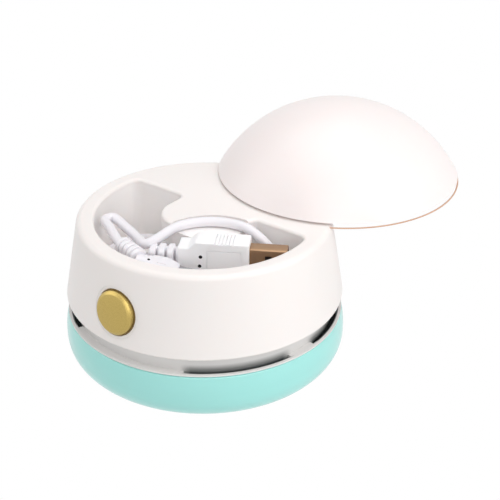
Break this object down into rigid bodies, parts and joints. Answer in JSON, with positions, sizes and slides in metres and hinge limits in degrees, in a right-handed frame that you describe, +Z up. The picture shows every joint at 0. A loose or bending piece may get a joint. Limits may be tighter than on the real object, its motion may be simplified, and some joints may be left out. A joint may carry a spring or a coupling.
{
  "type": "desktop mini vacuum cleaner",
  "caption": "Small round desktop vacuum cleaner with a swing lid, a storage pocket for its charging lead, a power button and a lift-off dust bowl.",
  "frame": {"origin": "centre of the suction mouth on the floor plane, under the body's axis", "axes": "+Z up along the body's axis; -Y towards the front with the power button; +Y towards the lid's pivot at the back"},
  "size_m": [0.0987, 0.1337, 0.0715],
  "materials": {
    "teal_plastic": "satin",
    "white_plastic": "satin",
    "inner_plastic": "matte",
    "dark_plastic": "matte",
    "gold_button": "satin",
    "foot_rubber": "matte",
    "bristle": "fibrous",
    "foam": "open cell",
    "mesh": "woven",
    "steel": "brushed",
    "plug_metal": "plated",
    "copper": "wound",
    "magnet": "matte",
    "board_green": "solder mask",
    "cell_wrap": "shrink wrap",
    "cord_white": "satin",
    "lead_wire": "satin"
  },
  "bodies": {
    "dust_bowl": {"base_bowl": "teal_plastic", "foot_ring": "foot_rubber", "nozzle_ring": "white_plastic", "brush_ring": "bristle"},
    "housing": {"lower_housing": "white_plastic", "fan_shroud": "inner_plastic", "shroud_screws": "steel", "exhaust_filter": "foam", "filter_frame": "inner_plastic", "filter_mesh": "mesh", "motor_can": "steel", "motor_magnets": "magnet", "motor_end_cap": "dark_plastic", "motor_terminals": "copper", "motor_screws": "steel", "body_shell": "white_plastic", "housing_screws": "steel", "button_bezel": "dark_plastic", "push_switch": "dark_plastic", "switch_board": "board_green", "pivot_bush": "copper", "pivot_washer": "inner_plastic", "battery_cell": "cell_wrap", "battery_cradle": "inner_plastic", "battery_tabs": "steel", "control_board": "board_green", "charge_chip": "dark_plastic", "charge_socket": "plug_metal", "usb_plug_body": "cord_white", "usb_relief": "cord_white", "usb_plug_shell": "plug_metal", "usb_plug_tongue": "white_plastic", "device_relief": "cord_white", "device_plug_body": "cord_white", "device_plug_tip": "plug_metal", "charging_cord": "cord_white", "motor_leads": "lead_wire", "battery_leads": "lead_wire", "switch_leads": "lead_wire"},
    "rotor": {"impeller": "inner_plastic", "motor_shaft": "steel", "motor_armature": "copper"},
    "button": {"button_cap": "gold_button", "switch_plunger": "dark_plastic"},
    "lid": {"lid_dome": "white_plastic", "pivot_screw": "steel"}
  },
  "joints": [
    {"name": "bowl_release", "type": "slide", "parent": "dust_bowl", "child": "housing", "axis": [0, 0, 1], "range_m": [0, 0.012]},
    {"name": "fan_spin", "type": "hinge", "parent": "housing", "child": "rotor", "pos_m": [0, 0, 0.02], "axis": [0, 0, 1], "continuous": true},
    {"name": "power_button", "type": "slide", "parent": "housing", "child": "button", "axis": [0, 0.9853, -0.1707], "range_m": [0, 0.0005], "stiffness_N_per_m": 1500, "springref_m": -0.0002},
    {"name": "lid_swing", "type": "hinge", "parent": "housing", "child": "lid", "pos_m": [0, 0.0277, 0.0488], "axis": [0, 0, 1], "range_deg": [-145.6, 34.4]}
  ]
}
